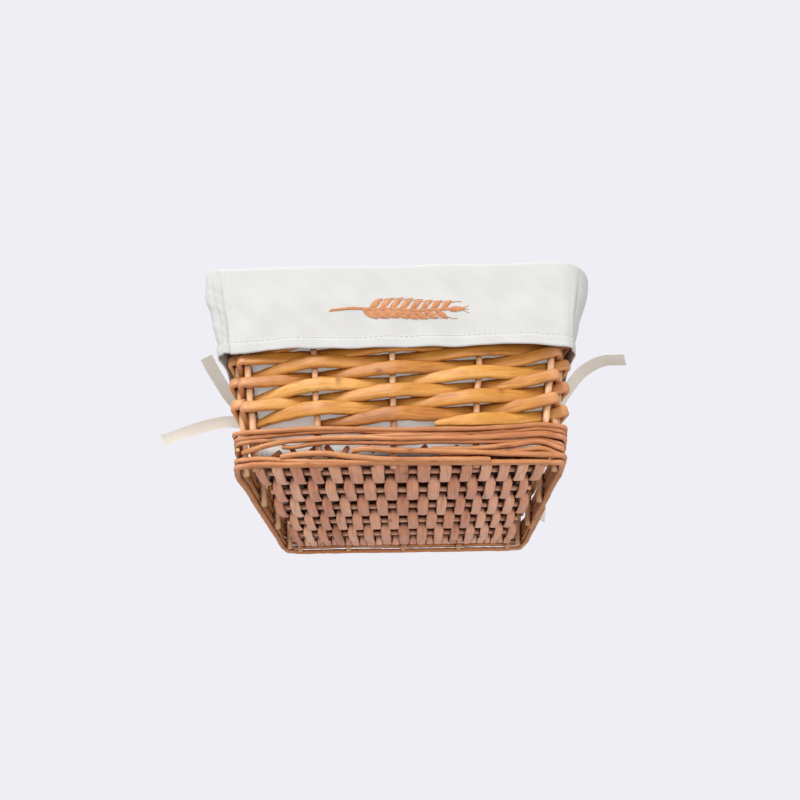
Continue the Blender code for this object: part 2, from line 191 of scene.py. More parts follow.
def willow_material(name, stops, stain_and_shade_colour, gloss, reach=0.009, shaded=None):
    """Varnished willow: streaks along the rod, blotches, dark buds and stained smears, with painted shade in
    its crevices, darkened towards the same dark red-brown by an occlusion mask.
    """
    tree = Tree(name)
    space = tree.attribute("rod_space")
    tone = tree.attribute("tone", "Fac")
    bud = tree.attribute("bud", "Fac")
    worn = tree.attribute("worn", "Fac")
    streak = tree.noise(space, (45, 1300, 1300), 4.0, 0.6)
    fibre = tree.noise(space, (160, 3800, 3800), 2.0)
    blotch = tree.noise(space, (55, 190, 190), 3.0)
    speck = tree.noise(space, (420, 900, 900), 2.0)
    smear = tree.noise(space, (38, 330, 330), 3.0, 0.6)
    mixed = tree.plus(tree.times(streak, 0.44), tree.times(blotch, 0.36))
    mixed = tree.plus(mixed, tree.times(fibre, 0.18))
    mixed = tree.plus(mixed, tree.times(tone, 0.36))
    colour = tree.ramp(tree.math("SUBTRACT", mixed, 0.17), *stops)
    colour = tree.mix(tree.times(worn, 0.6), colour, WORN_WOOD)
    smears = tree.ramp(smear, (0.60, 0), (0.72, 1))
    flecks = tree.ramp(speck, (0.66, 0), (0.74, 1))
    for share, strength in ((smears, 0.42), (flecks, 0.4), (bud, 0.8)):
        colour = tree.mix(tree.times(share, strength), colour, stain_and_shade_colour)
    # Painted shade: an occlusion mask darkens the crevices
    crevice_painted_shade = tree.occlusion(reach, (0.10, 0.97), (0.38, 0.62), (0.56, 0.12), (0.72, 0))
    # Painted shade by height: where a range is given, the parts above it, which lie behind the others, are
    # darkened too
    if shaded:
        place = tree.add("NewGeometry").outputs["Position"]
        height = tree.add("SeparateXYZ", None, Vector=place).outputs["Z"]
        hollow = tree.times(tree.math("SUBTRACT", height, shaded[0]), 1 / (shaded[1] - shaded[0]))
        crevice_painted_shade = tree.math("MAXIMUM", crevice_painted_shade, tree.ramp(hollow, (0.0, 0), (1.0, 0.96)))
    # Where the shade is painted, specular and coat are taken away
    outside_painted_shade = tree.without(crevice_painted_shade)
    normal = tree.bump(fibre, 0.4, 0.00014, tree.bump(streak, 0.6, 0.0004))
    tree.set(
        tree.shader,
        Base_Color=tree.mix(crevice_painted_shade, colour, stain_and_shade_colour),
        Specular_IOR_Level=tree.times(outside_painted_shade, 0.42),
        Coat_Weight=tree.times(outside_painted_shade, 0.10),
        Coat_Roughness=0.28,
        Roughness=tree.ramp(streak, (0.3, gloss), (0.7, gloss + 0.16)),
        Normal=normal,
    )
    return tree.material


# From the pith of a rod to its rim
CUT_STOPS = (
    (0.14, rgb(92, 52, 30)),
    (0.26, rgb(226, 178, 134)),
    (0.62, rgb(205, 150, 106)),
    (0.85, rgb(146, 92, 54)),
)


def cut_material():
    """The cut end of a rod: pale wood with a dark pith and a browner rim."""
    tree = Tree("willow_cut_end")
    space = tree.attribute("rod_space")
    parts = tree.add("SeparateXYZ", None, Vector=space)
    across, down = (tree.math("POWER", parts.outputs[axis], 2.0) for axis in (1, 2))
    radius = tree.math("SQRT", tree.plus(across, down))
    wobble = tree.times(tree.noise(space, (900, 900, 900)), 0.0007)
    radius = tree.times(tree.plus(radius, wobble), 300.0)
    colour = tree.ramp(radius, *CUT_STOPS)
    grain = tree.bump(tree.noise(space, (2600, 2600, 2600)), 0.4, 0.0002)
    tree.set(tree.shader, Base_Color=colour, Roughness=0.8, Normal=grain)
    return tree.material


# Painted light: how strongly the outside of the bag's walls glows, standing in for daylight through the cloth
# from its open top
PAINTED_GLOW = 0.34
# Painted shade: the dark red-brown of the bag's floor in the hollows over the base
FLOOR_PAINTED_SHADE = rgb(70, 26, 12)


def cotton_material(name, colour, shade, thread, sheen=0.25, deep=0.0):
    """Plain-woven cotton: warp and weft with slubs, laid out in metres by the cloth_space attribute."""
    tree = Tree(name)
    space = tree.attribute("cloth_space")
    parts = tree.add("SeparateXYZ", None, Vector=space)
    turn = 2 * math.pi / thread
    warp, weft = (tree.math("SINE", tree.times(parts.outputs[axis], turn)) for axis in (0, 1))
    weave = tree.times(warp, weft)
    slub = tree.plus(tree.noise(space, (1400, 60, 1), 2.0), tree.noise(space, (60, 1400, 1), 2.0))
    cloud = tree.noise(space, (22, 22, 22), 2.0)
    value = tree.plus(tree.times(slub, 0.35), tree.times(cloud, 0.30))
    value = tree.plus(value, tree.times(weave, 0.05))
    cloth = tree.ramp(value, (0.32, shade), (0.62, colour))
    # With a distance given, the bag gets painted shade on its floor and a painted glow on the outside of its
    # walls
    if deep:
        wall = tree.attribute("tone", "Fac")
        # Painted shade: an occlusion mask darkens the floor, not the walls
        floor_painted_shade = tree.times(tree.occlusion(deep, (0.25, 0.97), (0.6, 0)), tree.without(wall))
        cloth = tree.mix(floor_painted_shade, cloth, FLOOR_PAINTED_SHADE)
        # Painted light: the outward faces of the bag's walls glow in the cloth's colour
        surface = tree.add("NewGeometry")
        outer = tree.add("VectorMath", {"operation": "DOT_PRODUCT"})
        tree.put(outer.inputs[0], surface.outputs["Normal"])
        tree.put(outer.inputs[1], surface.outputs["Position"])
        outer = tree.math("GREATER_THAN", outer.outputs["Value"], 0.0)
        painted_glow = tree.times(tree.times(wall, PAINTED_GLOW), outer)
        tree.set(tree.shader, Emission_Color=cloth, Emission_Strength=painted_glow)
    normal = tree.bump(weave, 0.45, 0.00012, tree.bump(slub, 0.30, 0.0004))
    tree.set(tree.shader, Base_Color=cloth, Roughness=0.92, Normal=normal)
    tree.set(tree.shader, Sheen_Weight=sheen, Sheen_Roughness=0.5)
    return tree.material


PLY_LENGTH = 0.0007


def thread_material(name, light, dark):
    """Shiny embroidery thread, its plies turning round each strand."""
    tree = Tree(name)
    space = tree.attribute("rod_space")
    parts = tree.add("SeparateXYZ", None, Vector=space)
    twist = tree.plus(parts.outputs[0], tree.times(parts.outputs[1], 1.5))
    ply = tree.math("SINE", tree.times(twist, 2 * math.pi / PLY_LENGTH))
    value = tree.plus(tree.times(ply, 0.10), tree.times(tree.attribute("tone", "Fac"), 0.8))
    colour = tree.ramp(value, (0.0, dark), (0.9, light))
    normal = tree.bump(ply, 0.4, 0.00008)
    tree.set(tree.shader, Base_Color=colour, Roughness=0.42, Sheen_Weight=0.2, Normal=normal)
    return tree.material


WILLOW_STOPS = (
    (0.20, rgb(140, 72, 22)),
    (0.40, rgb(192, 122, 48)),
    (0.58, rgb(218, 154, 68)),
    (0.80, rgb(242, 196, 124)),
)
WALE_STOPS = (
    (0.20, rgb(132, 62, 28)),
    (0.40, rgb(184, 112, 64)),
    (0.60, rgb(210, 144, 92)),
    (0.82, rgb(234, 184, 138)),
)
BASE_STOPS = (
    (0.20, rgb(164, 90, 62)),
    (0.42, rgb(214, 146, 112)),
    (0.62, rgb(236, 174, 140)),
    (0.84, rgb(250, 206, 174)),
)
STAKE_STOPS = (
    (0.15, rgb(190, 126, 84)),
    (0.40, rgb(230, 174, 128)),
    (0.62, rgb(244, 198, 156)),
    (0.85, rgb(252, 220, 186)),
)
# The third value of each willow is the colour of its stained marks and of the painted shade in its crevices
MATERIALS = {
    "weaver": willow_material("willow_wall", WILLOW_STOPS, rgb(112, 42, 4), 0.34),
    "wale": willow_material("willow_waling", WALE_STOPS, rgb(92, 26, 2), 0.38, 0.011),
    "base": willow_material("willow_base", BASE_STOPS, rgb(58, 12, 2), 0.38, 0.013, (0.0058, 0.0082)),
    "stake": willow_material("willow_stakes", STAKE_STOPS, rgb(112, 48, 22), 0.44),
    "cut": cut_material(),
    "cotton": cotton_material("cotton_cloth", rgb(215, 215, 213), rgb(206, 206, 204), 0.0009),
    "bag": cotton_material("cotton_bag", rgb(212, 212, 210), rgb(203, 203, 201), 0.0009, 0.2, 0.02),
    "tape": cotton_material("cotton_tape", rgb(246, 238, 228), rgb(238, 227, 214), 0.0010, 0.3),
    "stitch": thread_material("white_thread", rgb(246, 245, 242), rgb(226, 224, 220)),
    "thread": thread_material("embroidery_thread", rgb(226, 160, 108), rgb(184, 112, 62)),
}


# ---------------------------------------------------------------- the wall


def wall_point(station, height):
    """A point of the wall's middle surface. Even segments are straight sides and odd ones corners."""
    segment = int(station) % 8
    share = station - int(station)
    along, out = SIDES[segment // 2]
    sizes = HALF_WIDTH + TAPER * height, HALF_DEPTH + TAPER * height
    length, distance = sizes if segment // 2 % 2 == 0 else sizes[::-1]
    straight = length - CORNER_RADIUS
    if segment % 2 == 0:
        return along * (straight * (2 * share - 1)) + out * distance + UP * height
    turn = share * math.pi / 2
    facing = out * math.cos(turn) + along * math.sin(turn)
    return along * straight + out * (distance - CORNER_RADIUS) + facing * CORNER_RADIUS + UP * height


def stake_stations():
    return [2 * side + share for side, shares in enumerate(STAKE_SHARES) for share in shares]


def weave_lift(count):
    """How much higher the weave lies at a count of stakes, from the left end of the front."""
    away = (count - LIFT_PLACE + STAKES / 2) % STAKES - STAKES / 2
    return WEAVE_LIFT * math.cos(math.pi / 2 * min(1.0, abs(away) / LIFT_SPREAD)) ** 2


def weave_bends(number):
    """The bends of one round of a wall rod: count, station, facing, offset, size and whether it kinks."""
    bends = []
    count = 0
    for side, shares in enumerate(STAKE_SHARES):
        along, out = SIDES[side]
        diagonal = (out + along) / math.sqrt(2)
        for share, following in zip(shares, [*shares[1:], None]):
            outside = (count + number) % 2 == 1
            edge = (share == 1.0) - (share == 0.0)
            station = 2 * side + share
            size = EDGE_SIZE if edge else (OUTSIDE_SIZE if outside else INSIDE_SIZE)
            offset = WEAVER_REACH * (1 if outside else -1)
            if not (edge and outside):
                bends.append((count + CORNER_SHIFT[outside] * edge, station, out, offset, size, 0))
            if following is not None:
                middle = 2 * side + (share + following) / 2
                bends.append((count + 0.5, middle, out, 0.0, MIDDLE_SIZE, 0))
            else:
                station = 2 * side + (1 if outside else 2)
                place = count + (0.25 if outside else 0.75)
                reach = WEAVER_REACH * KINK_REACH[side] * KINK_SCALE
                bends.append((place, station, diagonal, reach, KINK_SIZE, 1))
            count += 1
    return bends


def with_kinks(knots, kinks):
    """The knots with each kinked one replaced by four close to it, so that the rod turns there sharply."""
    made = []
    for i, (knot, kink) in enumerate(zip(knots, kinks)):
        if not kink or i in (0, len(knots) - 1):
            made.append(knot)
            continue
        for other, reaches in ((knots[i - 1], (0.0052, 0.0014)), (knots[i + 1], (0.0014, 0.0052))):
            gap = np.linalg.norm(np.subtract(other, knot)[:3])
            for reach in reaches:
                share = min(0.45, reach / gap)
                near = np.array(knot) * (1 - share) + np.array(other) * share
                near[8] = 1.0 if reach < 0.002 else 0.6
                made.append(near)
    return made


def smooth_rows(rows, step):
    """More rows on a smooth curve through the given ones, whose first three values are a place."""
    rows = np.asarray(rows, float)
    gaps = np.maximum(np.linalg.norm(np.diff(rows[:, :3], axis=0), axis=1), 1e-5)
    slopes = np.diff(rows, axis=0) / gaps[:, None]
    tangents = np.vstack([slopes[:1], slopes[:1], slopes[-1:]]) if len(rows) == 2 else np.empty_like(rows)
    if len(rows) > 2:
        tangents[0], tangents[-1] = slopes[0], slopes[-1]
        before, after = gaps[:-1, None], gaps[1:, None]
        tangents[1:-1] = (slopes[:-1] * after + slopes[1:] * before) / (before + after)
    made = []
    for i, gap in enumerate(gaps):
        count = max(1, math.ceil(gap / step))
        for t in np.arange(count) / count:
            a, b = 2 * t**3 - 3 * t**2 + 1, t**3 - 2 * t**2 + t
            made.append(a * rows[i] + b * gap * tangents[i] + (1 - a) * rows[i + 1]
                        + (t**3 - t**2) * gap * tangents[i + 1])
    return np.vstack([made, rows[-1:]])


# ---------------------------------------------------------------- meshes


def link(name, mesh, materials, slot, *nodes):
    """An object of the mesh that rides on the basket, and stands for the named solids."""
    for material in materials:
        mesh.materials.append(MATERIALS[material])
    obj = bpy.data.objects.new(name, mesh)
    bpy.context.collection.objects.link(obj)
    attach(obj, ROOT)
    if nodes:
        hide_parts(*nodes)
    return obj


class Shape:
    """Points and faces of one object, with their attributes, gathered from many parts."""

    def __init__(self):
        self.points, self.faces, self.kinds = [], [], []
        self.space, self.tone, self.bud, self.worn = [], [], [], []

    def add(self, points, faces, kinds, space, tone, bud=0.0, worn=0.0):
        start = len(self.points)
        self.points += [tuple(p) for p in points]
        self.faces += [tuple(start + i for i in face) for face in faces]
        self.kinds += kinds
        self.space += [tuple(p) for p in space]
        self.tone += list(np.broadcast_to(tone, len(points)))
        self.bud += list(np.broadcast_to(bud, len(points)))
        self.worn += list(np.broadcast_to(worn, len(points)))

    def mesh(self, name, space="rod_space", sharp=50):
        mesh = bpy.data.meshes.new(name)
        mesh.from_pydata(self.points, [], self.faces)
        mesh.polygons.foreach_set("material_index", self.kinds)
        mesh.polygons.foreach_set("use_smooth", [True] * len(self.faces))
        field = mesh.attributes.new(space, "FLOAT_VECTOR", "POINT")
        field.data.foreach_set("vector", np.array(self.space, float).ravel())
        for key in ("tone", "bud", "worn"):
            mesh.attributes.new(key, "FLOAT", "POINT").data.foreach_set("value", getattr(self, key))
        mesh.set_sharp_from_angle(angle=math.radians(sharp))
        mesh.update()
        return mesh


def tube_faces(rings, sides):
    """The faces between closed rings of points, numbered ring after ring."""
    faces = []
    for start in range(0, (rings - 1) * sides, sides):
        for k in range(sides):
            a, b = start + k, start + (k + 1) % sides
            faces.append((a, a + sides, b + sides, b))
    return faces


def add_rod(shape, rows, rng, tone, sides=12, power=2.3, relief=0.035, buds=0.075, flats=(True, True)):
    """A rod along rows of place, facing, thickness and height. Both of its ends are cut."""
    centres, facing = rows[:, :3], rows[:, 3:6]
    half_thick, half_high = rows[:, 6] / 2, rows[:, 7] / 2
    ahead = np.gradient(centres, axis=0)
    ahead /= np.linalg.norm(ahead, axis=1)[:, None]
    side = facing - ahead * np.sum(facing * ahead, axis=1)[:, None]
    side /= np.linalg.norm(side, axis=1)[:, None]
    up = np.cross(ahead, side)
    length = np.concatenate([[0], np.cumsum(np.linalg.norm(np.diff(centres, axis=0), axis=1))])
    turns = np.arange(sides) * 2 * math.pi / sides
    wave = np.ones((len(rows), sides))
    for size, count in ((0.012, 0), (0.021, 1), (0.034, 2), (0.055, 1), (0.009, 3)):
        phase = rng.uniform(0, 2 * math.pi)
        wave += relief * rng.uniform(0.5, 1.0) * np.sin(
            length[:, None] / size * 2 * math.pi + count * turns[None, :] + phase
        )
    bud = np.zeros((len(rows), sides))
    place = rng.uniform(0.01, buds)
    while place < length[-1]:
        at = rng.uniform(0, 2 * math.pi)
        around = np.abs((turns[None, :] - at + math.pi) % (2 * math.pi) - math.pi)
        bud += np.exp(-(((length[:, None] - place) / 0.0022) ** 2) - (around / 0.42) ** 2)
        place += rng.uniform(0.6, 1.4) * buds
    bud = np.clip(bud, 0, 1)
    across = np.sign(np.cos(turns)) * np.abs(np.cos(turns)) ** (2 / power)
    down = np.sign(np.sin(turns)) * np.abs(np.sin(turns)) ** (2 / power)
    x = half_thick[:, None] * across[None, :] * wave + 0.0003 * bud * np.cos(turns)
    y = half_high[:, None] * down[None, :] * wave + 0.0003 * bud * np.sin(turns)
    points = centres[:, None, :] + side[:, None, :] * x[..., None] + up[:, None, :] * y[..., None]
    space = np.stack([np.broadcast_to(length[:, None], x.shape) + rng.uniform(0, 90), x, y], axis=-1)
    count = len(rows)
    faces = tube_faces(count, sides)
    kinds = [0] * len(faces)
    faces.append(tuple(range(sides)))
    faces.append(tuple(reversed(range((count - 1) * sides, count * sides))))
    kinds += [1 if flat else 0 for flat in flats]
    drift = 0.12 * np.sin(length / rng.uniform(0.05, 0.11) + rng.uniform(0, 6))
    tones = np.repeat(tone + drift, sides)
    worn = np.repeat(np.clip(rows[:, 8], 0, 1), sides) if rows.shape[1] > 8 else 0.0
    shape.add(points.reshape(-1, 3), faces, kinds, space.reshape(-1, 3), tones, bud.ravel(), worn)


def chamfered(rows):
    """The rows with both ends pulled in a little, as a cut end that is worn."""
    rows = rows.copy()
    for end in (0, -1):
        rows[end, 6:8] *= 0.86
    return rows


def seeded(*key):
    return np.random.default_rng(list(key))


# ---------------------------------------------------------------- the willow


def make_weavers():
    """The rods of the wall. Each begins in a slanting cut wedged under the rod above it."""
    for number in range(WEAVERS):
        rng = seeded(11, number)
        bends = weave_bends(number)
        start = number * STAKES / WEAVERS
        end = start + WEAVER_CLIMB / WEAVER_RISE
        knots, kinks = [], []
        for turn in range(-1, 3):
            for count, station, facing, offset, size, kink in bends:
                at = count + turn * STAKES
                height = WEAVER_FLOOR + (at - start) * WEAVER_RISE + weave_lift(at) + rng.normal(0, 0.0004)
                height += INSIDE_LIFT * (size == INSIDE_SIZE)
                if at < start - 0.6 or at > end + 0.1:
                    continue
                taper = 1.04 - 0.10 * max(0.0, at - start) / (end - start)
                tip = min(1.0, 0.25 + 0.7 * (at - start + 0.65) / 0.7)
                place = wall_point(station, height + 0.0012 * (1 - tip))
                place = place + facing * (offset + rng.normal(0, 0.0001))
                knots.append([*place, *facing, size[0] * taper, size[1] * taper * tip, 0.0])
                kinks.append(kink)
        rows = smooth_rows(with_kinks(knots, kinks), 0.0019)
        shape = Shape()
        add_rod(shape, chamfered(rows), rng, rng.uniform(0.2, 0.8), sides=14, power=3.2, relief=0.024)
        name = f"wall_weaver_{number + 1:02d}"
        link(f"willow_rod_{number + 1:02d}", shape.mesh(name), ("weaver", "cut"), "willow", name)


def make_stakes():
    for number, station in enumerate(stake_stations()):
        rng = seeded(12, number)
        along, facing = SIDES[int(station) // 2]
        knots = []
        for height in np.linspace(0.0012, STAKE_TOP, 9):
            place = wall_point(station, height)
            wobble = along * rng.normal(0, 0.0003)
            thick = 0.0052 - 0.0004 * height / STAKE_TOP
            knots.append([*(place + wobble), *facing, thick, thick * rng.uniform(0.96, 1.06)])
        shape = Shape()
        add_rod(shape, chamfered(smooth_rows(knots, 0.003)), rng, rng.uniform(0.3, 0.8), sides=12, power=2.1)
        name = f"side_stake_{number + 1:02d}"
        link(f"willow_stake_{number + 1:02d}", shape.mesh(name), ("stake", "cut"), "willow_pale", name)


# The waling's rods: each with its solid, its layer, its diameter, and its (stake count, height) points
WALE_RODS = (
    ("upper_wale_4", 1, 0.0041,
     ((-0.9, 27.2), (0, 26.6), (1, 29.0), (2, 27.4), (3, 26.3), (4, 28.8), (5, 27.0), (8, 27.6),
      (11.5, 26.8))),
    ("upper_wale_4", 0, 0.0038, ((10.8, 27.6), (12, 26.8), (14, 27.8), (16, 26.6), (17.2, 27.4))),
    ("upper_wale_3", 0, 0.0040,
     ((-1.0, 23.4), (0, 23.2), (0.7, 26.6), (1.4, 27.4), (2, 25.4), (3, 24.0), (4, 26.2), (5, 24.4),
      (7.4, 23.4))),
    ("upper_wale_3", 1, 0.0038, ((6.8, 24.4), (9, 23.4), (12, 24.4), (14.5, 23.2), (17.3, 23.8))),
    ("upper_wale_2", 0, 0.0038,
     ((-0.8, 20.2), (0, 20.6), (0.55, 20.6), (1.2, 22.6), (2, 23.6), (3, 22.4), (4, 22.8), (5, 20.8),
      (9.5, 19.9), (11.6, 20.8))),
    ("upper_wale_2", 1, 0.0040, ((11.0, 20.0), (13, 20.4), (15.5, 19.6), (17.4, 20.4))),
    ("upper_wale_1", 1, 0.0042,
     ((-0.35, 12.4), (0, 14.2), (0.35, 18.6), (0.8, 21.0), (1.3, 22.0), (2, 20.2), (3, 20.2), (4, 21.4),
      (5, 18.4), (8.3, 16.4))),
    ("upper_wale_1", 0, 0.0038, ((7.6, 16.0), (10, 16.6), (13, 15.8), (15, 16.6), (17.5, 16.2))),
    ("upper_wale_1", 0, 0.0038,
     ((0.45, 16.0), (1, 18.8), (1.5, 19.4), (2, 17.6), (2.6, 18.6), (3.2, 17.4), (4, 17.8), (4.9, 14.2))),
    ("foot_wale_3", 0, 0.0046,
     ((2.45, 12.6), (2.9, 12.8), (3.5, 14.4), (4, 16.0), (4.6, 11.0), (6, 12.0), (9, 11.6),
      (11.2, 12.2))),
    ("foot_wale_3", 1, 0.0046,
     ((1.45, 12.0), (1.6, 13.4), (2, 11.6), (3, 8.8), (4, 6.6), (4.5, 6.9), (5, 7.4), (7.5, 7.0))),
    ("foot_wale_3", 1, 0.0044, ((10.4, 11.0), (12, 12.2), (13.6, 11.4), (15.6, 12.4), (17.2, 11.2))),
    ("foot_wale_2", 1, 0.0048,
     ((0.42, 8.0), (0.55, 9.4), (0.95, 10.4), (1.4, 8.2), (2, 5.2), (2.6, 4.2), (3.2, 3.2))),
    ("foot_wale_2", 0, 0.0046,
     ((2.55, 9.4), (3.2, 9.4), (3.8, 10.0), (4, 10.6), (4.6, 6.0), (5.4, 6.6), (7, 6.6))),
    ("foot_wale_2", 0, 0.0044,
     ((6.5, 6.4), (8, 7.0), (10, 6.6), (12, 7.2), (14, 6.4), (16, 7.4), (17.0, 7.0), (17.55, 7.4))),
    ("foot_wale_1", 0, 0.0046,
     ((-0.75, 7.4), (-0.1, 7.4), (0.7, 5.6), (1.4, 4.4), (2.0, 3.6), (2.8, 2.6), (3.6, 2.5), (4, 2.5),
      (4.8, 2.4), (7.2, 2.4))),
    ("foot_wale_1", 1, 0.0046, ((6.3, 2.4), (8, 2.5), (10, 2.4), (12.4, 2.4))),
    ("foot_wale_1", 1, 0.0046,
     ((11.4, 2.5), (13, 2.4), (15, 2.5), (16.3, 2.4), (17.9, 2.6), (18.7, 2.4), (19.4, 2.4))),
)


WALE_SCALE = 0.90


def count_station(count):
    """The wall's station at a count of stakes, where the last half count of a side turns the corner."""
    stations = [*stake_stations(), 8.0]
    i = int(count)
    here, there = stations[i], stations[i + 1]
    return here + (there - here) * (count - i)


def station_facing(station):
    segment = int(station) % 8
    along, out = SIDES[segment // 2]
    turn = (station - int(station)) * math.pi / 2 if segment % 2 else 0.0
    return out * math.cos(turn) + along * math.sin(turn)


def wale_rows(points, layer, diameter, rng):
    """A thin rod that follows the wall outside its stakes, and kinks where it turns a corner."""
    counts = np.array([p[0] for p in points])
    heights = np.array([p[1] for p in points]) / 1000
    edges = np.cumsum([len(shares) for shares in STAKE_SHARES]) - 0.5
    knots, kinks = [], []
    fine = set(np.arange(math.ceil(counts[0] * 2) / 2, counts[-1], 0.5)) | {counts[0], counts[-1]}
    for count in sorted(fine):
        station = count_station(count % STAKES)
        facing = station_facing(station)
        corner = np.any(np.abs(count % STAKES - edges) < 0.01)
        height = float(np.interp(count, counts, heights)) + rng.normal(0, 0.0002)
        offset = STAKE_RADIUS + diameter / 2 + 0.0001 + 0.0015 * layer + (0.0030 if corner else 0.0)
        place = wall_point(station, height) + facing * (offset + rng.normal(0, 0.0002))
        knots.append([*place, *facing, diameter, diameter * rng.uniform(0.93, 1.03), 0.0])
        kinks.append(corner)
    return smooth_rows(with_kinks(knots, kinks), 0.0024)


# Short cut ends left in the open part of the waling: count, height (mm), reach along the wall, climb
STUBS = (
    (0.30, 13.0, 0.006, 0.006),
    (0.62, 15.5, -0.004, 0.007),
    (0.90, 17.0, 0.005, 0.005),
    (1.16, 16.0, -0.005, 0.006),
    (1.34, 15.0, 0.004, 0.007),
    (1.72, 16.5, -0.006, 0.004),
    (2.34, 15.5, 0.005, 0.005),
    (2.80, 15.0, -0.004, 0.005),
    (4.05, 23.0, 0.011, 0.0004),
    (4.05, 19.5, 0.012, -0.0006),
    (4.10, 16.0, 0.010, 0.0012),
)


def stub_rows(count, height, reach, climb, rng):
    """A short cut end that leans along the wall just inside the outer rods, or past its corner."""
    station = count_station(count)
    facing = station_facing(station)
    along = np.cross(UP, facing)
    start = wall_point(station, height / 1000) - facing * rng.uniform(0.0002, 0.0014)
    size = rng.uniform(0.0030, 0.0038)
    knots = []
    for t in np.linspace(0, 1, 4):
        place = start + along * reach * (t - 0.3) + UP * climb * (t - 0.5)
        knots.append([*place, *facing, size, size * 1.15, 0.0])
    return smooth_rows(knots, 0.0015)


def make_waling():
    shapes = {}
    for number, (node, layer, diameter, points) in enumerate(WALE_RODS):
        rng = seeded(13, number)
        rows = chamfered(wale_rows(points, layer, diameter * WALE_SCALE, rng))
        add_rod(shapes.setdefault(node, Shape()), rows, rng, rng.uniform(0.2, 0.75), sides=12, power=2.2)
    for number, (count, height, reach, climb) in enumerate(STUBS):
        rng = seeded(14, number)
        rows = chamfered(stub_rows(count, height, reach, climb, rng))
        add_rod(shapes["foot_wale_3"], rows, rng, 0.1, sides=10)
    for node, shape in shapes.items():
        name = node.replace("wale", "waling_rods")
        link(name, shape.mesh(node), ("wale", "cut"), "willow_pale", node)


RIM_STEPS = 144
RIM_TURNS = 16
RIM_STRANDS = 3


def make_rim():
    """The border under the cloth: three rods laid round each other on top of the stakes."""
    shape = Shape()
    rng = seeded(14, 0)
    for strand in range(RIM_STRANDS):
        knots = []
        for i in range(RIM_STEPS + 1):
            station = 8 * i / RIM_STEPS % 8
            facing = station_facing(station)
            turn = 2 * math.pi * (i / RIM_STEPS * RIM_TURNS + strand / RIM_STRANDS)
            place = wall_point(station, STAKE_TOP + 0.0046 + 0.0016 * math.sin(turn))
            knots.append([*(place + facing * 0.0042 * math.cos(turn)), *facing, 0.0044, 0.0044])
        add_rod(shape, smooth_rows(knots, 0.004), rng, 0.4 + 0.1 * strand, sides=8, buds=0.2)
    link("border_rods", shape.mesh("rim_border"), ("weaver", "cut"), "willow", "rim_border")


# The base: strips from front to back over and under sticks from left to right
STICK_LINES = [-0.0786 + 0.0342 * i for i in range(5)]
STICK_HEIGHT = 0.0066
STICK_HALF = 0.1022
BASE_HALF = 0.1038
STRIPS = 29
# Where the strips begin and end, and the last places before and after at which they lie level
STRIP_ENDS, STRIP_LEVELS = (-0.0935, 0.0932), (-0.0910, 0.0900)
END_ROD_LINE = 0.0852
END_ROD_HALF = 0.103


# How far a strip stands off the sticks' middle, by how far it is from the stick that it crosses
STRIP_WAVE = ((-0.0138, 0.0023), (-0.0090, 0.0038), (0.0, 0.0043), (0.0090, 0.0038), (0.0138, 0.0023))


def strip_knot(x, y, rise, thick, wide):
    return [x, y, STICK_HEIGHT + rise, 0, 0, -1, thick, wide]


def make_base():
    for number, y in enumerate(STICK_LINES):
        rng = seeded(15, number)
        knots = [
            strip_knot(x, y + rng.normal(0, 0.0004), rng.normal(0, 0.0001), 0.0046, 0.0050)
            for x in np.linspace(-STICK_HALF, STICK_HALF, 9)
        ]
        shape = Shape()
        add_rod(shape, chamfered(smooth_rows(knots, 0.004)), rng, rng.uniform(0.6, 0.9), sides=12)
        name = f"base_stick_{number + 1}"
        link(f"willow_stick_{number + 1}", shape.mesh(name), ("base", "cut"), "willow_pale", name)
    rng = seeded(16, 0)
    place = np.linspace(-1, 1, STRIPS)
    widths = 0.0062 + 0.0022 * np.exp(-(((place + 0.02) / 0.55) ** 2)) + rng.normal(0, 0.00022, STRIPS)
    widths *= 2 * BASE_HALF / widths.sum()
    edges = np.concatenate([[0], np.cumsum(widths)]) - BASE_HALF
    shape = Shape()
    for number in range(STRIPS):
        rng = seeded(17, number)
        x = (edges[number] + edges[number + 1]) / 2
        width = widths[number]
        knots = [strip_knot(x, STRIP_ENDS[0] + rng.uniform(-0.001, 0.001), 0.0035, 0.0020, width * 0.8)]
        knots.append(strip_knot(x, STRIP_LEVELS[0], 0.0002, 0.0022, width * 0.86))
        for i, y in enumerate(STICK_LINES):
            wave = -1 if (i + number) % 2 == 0 else 1
            if i > 0:
                middle = (y + STICK_LINES[i - 1]) / 2
                knots.append(strip_knot(x, middle, rng.normal(0, 0.0002), 0.0024, width * 0.92))
            wide = width * (rng.uniform(1.10, 1.20) if wave < 0 else 0.78)
            for shift, deep in STRIP_WAVE:
                rise = wave * deep + rng.normal(0, 0.00012)
                knots.append(strip_knot(x + rng.normal(0, 0.00016), y + shift, rise, 0.0028, wide))
        knots.append(strip_knot(x, STRIP_LEVELS[1], 0.0002, 0.0024, width * 0.9))
        knots.append(strip_knot(x, STRIP_ENDS[1] + rng.uniform(-0.001, 0.001), 0.003, 0.0022, width * 0.86))
        rows = chamfered(smooth_rows(knots, 0.0020))
        add_rod(shape, rows, rng, rng.uniform(0.15, 0.85), sides=12, power=3.0, relief=0.02, buds=0.12)
    for sign in (-1, 1):
        rng = seeded(18, sign + 1)
        knots = [
            strip_knot(x, sign * END_ROD_LINE + rng.normal(0, 0.0002), 0.0022, 0.0034, 0.0036)
            for x in np.linspace(-END_ROD_HALF, END_ROD_HALF, 9)
        ]
        add_rod(shape, smooth_rows(knots, 0.004), rng, 0.5, sides=10)
    link("base_strips", shape.mesh("base_weave"), ("base", "cut"), "willow_pale", "base_weave")


# ---------------------------------------------------------------- the cloth


